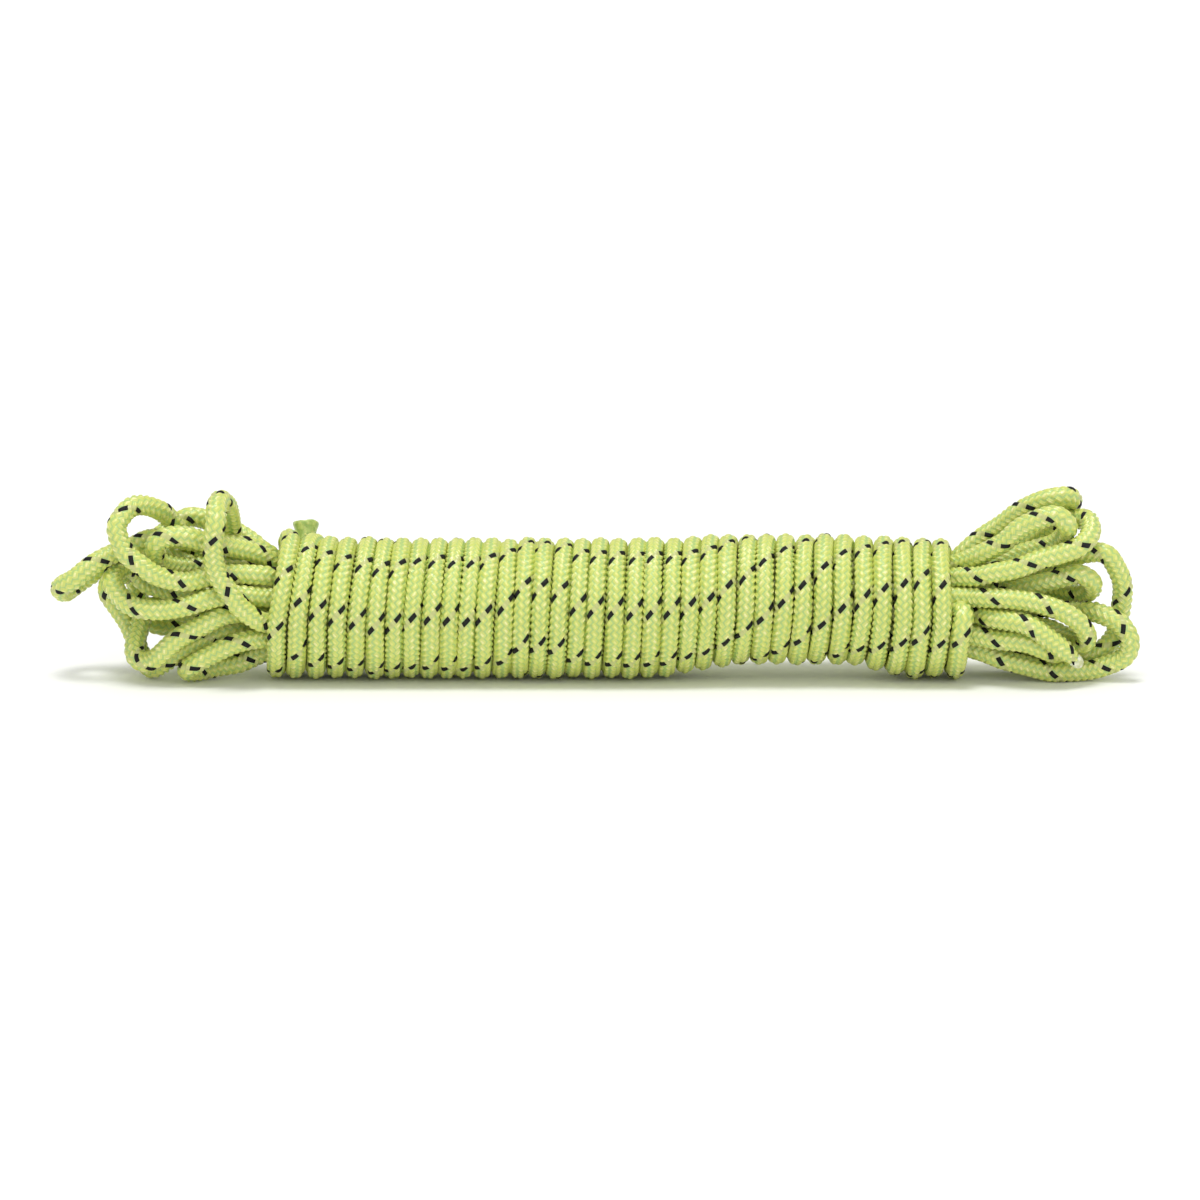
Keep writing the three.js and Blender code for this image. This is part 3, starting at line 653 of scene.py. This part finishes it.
def make_line():
    """The cord's centreline with all that the braid needs along it; wrap_from is where the wraps start."""
    stations, (wrap_first, wrap_last) = whole_route()
    points, s = resample(stations)
    tangents, normals, binormals = turning_frames(points)
    chords = distance_along(stations)
    wrap_places = chords[wrap_first:wrap_last] * s[-1] / chords[-1]
    in_wrap = smoothstep(s, wrap_places[0], wrap_places[0] + CORD)
    drawn_out = 1 - smoothstep(s, 0, END_B_TAPER)
    return {
        "points": points,
        "s": s,
        "tangents": tangents,
        "normals": normals,
        "binormals": binormals,
        "twist": cord_twist(s, points, normals, binormals, wrap_places),
        "pressed": 1 - PRESSED_SHARE * in_wrap,
        "girth": 1 - END_B_THINNER * drawn_out,
        "wrap_from": wrap_places[0],
    }


def make_rope(line, material_list):
    stretches = []
    at = 0.0
    for hidden_from, hidden_to in hidden_stretches(line):
        stretches.append((at, hidden_from, FINE))
        stretches.append((hidden_from, hidden_to, COARSE))
        at = hidden_to
    stretches.append((at, line["s"][-1], FINE))
    built = [braid_section(line, *stretch) for stretch in stretches]
    offsets = np.cumsum([0] + [len(part[0]) for part in built[:-1]])
    vertices = np.vstack([part[0] for part in built])
    faces = np.vstack([part[1] + offset for part, offset in zip(built, offsets)])
    uv = np.vstack([part[2] for part in built])
    shades = np.concatenate([part[3] for part in built])
    return new_mesh("rope", vertices, faces, material_list, shades, uv)


# ---------------------------------------------------------------- materials


def srgb(red, green, blue):
    def linear(c):
        return c / 12.92 if c <= 0.04045 else ((c + 0.055) / 1.055) ** 2.4

    return (linear(red), linear(green), linear(blue), 1.0)


def new_material(name):
    material = bpy.data.materials.new(name)
    material.use_nodes = True
    tree = material.node_tree
    return material, tree, tree.nodes["Principled BSDF"]


def add_node(tree, kind, **values):
    node = tree.nodes.new(kind)
    for key, value in values.items():
        if key in node.inputs:
            node.inputs[key].default_value = value
        else:
            setattr(node, key, value)
    return node


def add_ramp(tree, noise, places, colours):
    ramp = add_node(tree, "ShaderNodeValToRGB")
    for element, place, colour in zip(ramp.color_ramp.elements, places, colours):
        element.position = place
        element.color = colour
    tree.links.new(noise.outputs["Fac"], ramp.inputs["Fac"])
    return ramp


# The lighter crest colours paint a highlight on each float's middle, and the tracer's lighter crest colour
# paints one on the black yarn. The darker, greener groove colour paints shade at the floats' ends, where they
# dip under their neighbours. The pale colours vary the yarn's tone from float to float at random.
YARN_COLOURS = {
    "yarn_painted_highlight": srgb(0.91, 0.91, 0.52),
    "yarn_painted_highlight_pale": srgb(0.95, 0.94, 0.64),
    "yarn_side": srgb(0.83, 0.87, 0.44),
    "yarn_side_pale": srgb(0.85, 0.88, 0.48),
    "yarn_painted_groove_shade": srgb(0.72, 0.83, 0.48),
    "tracer_painted_highlight": srgb(0.10, 0.10, 0.09),
    "tracer_side": srgb(0.06, 0.06, 0.06),
    "over_tracer": srgb(0.79, 0.81, 0.51),
}
YARN_ROUGHNESS = 0.32
YARN_SPECULAR = 0.8
TRACER_ROUGHNESS = 0.6
TRACER_SPECULAR = 0.3
ROUGHNESS_SPREAD = 0.12


def yarn(name):
    """Braided yarn: fine filaments along each float, and roughness that varies from place to place."""
    material, tree, shader = new_material(name)
    tracer = name.startswith("tracer")
    roughness = TRACER_ROUGHNESS if tracer else YARN_ROUGHNESS
    shader.inputs["Base Color"].default_value = YARN_COLOURS[name]
    shader.inputs["Specular IOR Level"].default_value = TRACER_SPECULAR if tracer else YARN_SPECULAR
    place = add_node(tree, "ShaderNodeUVMap", uv_map="float")
    wave = add_node(tree, "ShaderNodeTexWave", Scale=0.9, Distortion=0.5)
    wave.inputs["Detail Scale"].default_value = 1.5
    tree.links.new(place.outputs["UV"], wave.inputs["Vector"])
    bump = add_node(tree, "ShaderNodeBump", Strength=0.35, Distance=0.00012)
    tree.links.new(wave.outputs["Fac"], bump.inputs["Height"])
    tree.links.new(bump.outputs["Normal"], shader.inputs["Normal"])
    spot = add_node(tree, "ShaderNodeTexCoord")
    noise = add_node(tree, "ShaderNodeTexNoise", Scale=160.0, Detail=3.0)
    tree.links.new(spot.outputs["Object"], noise.inputs["Vector"])
    spread = add_node(tree, "ShaderNodeMapRange")
    spread.inputs["To Min"].default_value = roughness - ROUGHNESS_SPREAD
    spread.inputs["To Max"].default_value = roughness + ROUGHNESS_SPREAD
    tree.links.new(noise.outputs["Fac"], spread.inputs["Value"])
    tree.links.new(spread.outputs["Result"], shader.inputs["Roughness"])
    return material


def fused_plastic(name, dark, pale):
    """Yarn ends melted together: lumpy, with a little gloss and paler and darker patches."""
    material, tree, shader = new_material(name)
    shader.inputs["Subsurface Weight"].default_value = 0.1
    shader.inputs["Subsurface Scale"].default_value = 0.001
    shader.inputs["Roughness"].default_value = 0.38
    spot = add_node(tree, "ShaderNodeTexCoord")
    noise = add_node(tree, "ShaderNodeTexNoise", Scale=700.0, Detail=4.0)
    tree.links.new(spot.outputs["Object"], noise.inputs["Vector"])
    ramp = add_ramp(tree, noise, (0.38, 0.62), (dark, pale))
    tree.links.new(ramp.outputs["Color"], shader.inputs["Base Color"])
    bump = add_node(tree, "ShaderNodeBump", Strength=0.5, Distance=0.0003)
    tree.links.new(noise.outputs["Fac"], bump.inputs["Height"])
    tree.links.new(bump.outputs["Normal"], shader.inputs["Normal"])
    return material


def pale_floor():
    material, tree, shader = new_material("pale_floor")
    shader.inputs["Roughness"].default_value = 0.9
    shader.inputs["Specular IOR Level"].default_value = 0.1
    noise = add_node(tree, "ShaderNodeTexNoise", Scale=3.0, Detail=2.0)
    ramp = add_ramp(tree, noise, (0, 1), ((0.95, 0.95, 0.95, 1), (0.96, 0.96, 0.96, 1)))
    tree.links.new(ramp.outputs["Color"], shader.inputs["Base Color"])
    return material


# ---------------------------------------------------------------- sealed ends


# Outlines of the two melted ends: distance past the last of the braid, and radius
FLARED_END = (
    (-0.0068, 0.0029), (-0.0052, 0.003), (-0.0036, 0.00305), (-0.002, 0.0033), (-0.0008, 0.00375),
    (0.0001, 0.0041), (0.0007, 0.0039), (0.0007, 0.0031), (0.0002, 0.0021), (-0.0001, 0.001),
)
DRAWN_OUT_END = (
    (-0.0012, 0.0019), (-0.0004, 0.0021), (0.0004, 0.00205), (0.0012, 0.0018), (0.0019, 0.00145),
    (0.0024, 0.0010), (0.0026, 0.0005),
)
TIP_SEGMENTS = 40
LUMPS_SIDEWAYS = 0.00012
LUMPS_FORWARD = 0.00022


def melted_tip(name, centre, forward, profile, material, seed):
    """The cord's end melted shut: a lumpy cap that closes over the braid."""
    rng = np.random.default_rng(seed)
    forward = unit(forward)
    side = unit(np.cross(forward, (0.3, 0.9, 0.2)))
    up = np.cross(forward, side)
    angles = np.linspace(0, 2 * math.pi, TIP_SEGMENTS, endpoint=False)
    lobes = [(k, rng.uniform(0, 2 * math.pi), rng.uniform(0.3, 1.0)) for k in (2, 3, 5, 7, 11)]
    lump = sum(size * np.cos(k * angles + phase) / k**0.6 for k, phase, size in lobes)
    rings = []
    for along, radius in profile:
        r = radius + LUMPS_SIDEWAYS * lump * min(1, radius / 0.003)
        push = LUMPS_FORWARD * np.roll(lump, 7) * min(1, radius / 0.002)
        rings.append(
            centre
            + forward * (along + push)[:, None]
            + side * (r * np.cos(angles))[:, None]
            + up * (r * np.sin(angles))[:, None]
        )
    tip_point = centre + forward * profile[-1][0]
    vertices = np.vstack([*rings, tip_point[None]])
    faces = []
    for low in range(0, (len(profile) - 1) * TIP_SEGMENTS, TIP_SEGMENTS):
        for k in range(TIP_SEGMENTS):
            follow = (k + 1) % TIP_SEGMENTS
            faces.append((low + k, low + follow, low + TIP_SEGMENTS + follow, low + TIP_SEGMENTS + k))
    top = (len(profile) - 1) * TIP_SEGMENTS
    caps = [(top + k, top + (k + 1) % TIP_SEGMENTS, len(vertices) - 1) for k in range(TIP_SEGMENTS)]
    mesh = bpy.data.meshes.new(name)
    mesh.from_pydata([tuple(p) for p in vertices], [], faces + caps)
    mesh.materials.append(material)
    mesh.shade_smooth()
    piece = add_object(name, mesh)
    smooth = piece.modifiers.new("smooth", "SUBSURF")
    smooth.levels = 1
    smooth.render_levels = 1
    return piece


# ---------------------------------------------------------------- the hank

line = make_line()
rope = make_rope(line, [yarn(name) for name in SHADES])
fused_a = fused_plastic("fused_end_a", srgb(0.62, 0.73, 0.38), srgb(0.80, 0.85, 0.50))
fused_b = fused_plastic("fused_end_b", srgb(0.80, 0.82, 0.62), srgb(0.92, 0.93, 0.84))
tip_b = melted_tip("end_b_tip", line["points"][0], -line["tangents"][0], DRAWN_OUT_END, fused_b, seed=3)
tip_a = melted_tip("end_a_tip", line["points"][-1], line["tangents"][-1], FLARED_END, fused_a, seed=8)

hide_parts(*(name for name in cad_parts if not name.endswith("_seal")))
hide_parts("end_a_seal")
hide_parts("end_b_seal")
for piece in (rope, tip_a, tip_b):
    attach(piece, "root")


# ---------------------------------------------------------------- floor, light and camera

FLOOR_HALF = 20.0
CAMERA_AIM = Vector((0.0016, 0.0009, 0.0236))
CAMERA_DISTANCE = 4.0
WORLD_LIGHT = 0.68


def soft_light(name, elevation, turned, spread, strength):
    """A broad, distant light, turned from the front towards the right; all angles are in degrees."""
    data = bpy.data.lights.new(name, "SUN")
    data.angle = math.radians(spread)
    data.energy = strength
    light = add_object(name, data)
    light.rotation_euler = (math.radians(90 - elevation), 0, math.radians(turned))


floor_mesh = bpy.data.meshes.new("floor")
corners = [(x * FLOOR_HALF, y * FLOOR_HALF, 0) for x, y in ((-1, -1), (1, -1), (1, 1), (-1, 1))]
floor_mesh.from_pydata(corners, [], [(0, 1, 2, 3)])
floor_mesh.materials.append(pale_floor())
add_object("floor", floor_mesh)

soft_light("overhead", elevation=82, turned=-25, spread=20, strength=1.45)
soft_light("front", elevation=30, turned=20, spread=40, strength=0.35)
world = bpy.data.worlds.new("studio")
bpy.context.scene.world = world
world.use_nodes = True
world.node_tree.nodes["Background"].inputs["Color"].default_value = (1, 1, 1, 1)
world.node_tree.nodes["Background"].inputs["Strength"].default_value = WORLD_LIGHT
bpy.context.scene.view_settings.view_transform = "Standard"

camera_data = bpy.data.cameras.new("camera")
camera_data.lens = 400
camera_data.sensor_width = 36
camera_data.clip_end = 100
camera = add_object("camera", camera_data)
camera.location = CAMERA_AIM + CAMERA_DISTANCE * Vector((0, -math.cos(LOOK_DOWN), math.sin(LOOK_DOWN)))
camera.rotation_euler = (math.pi / 2 - LOOK_DOWN, 0, 0)
bpy.context.scene.camera = camera
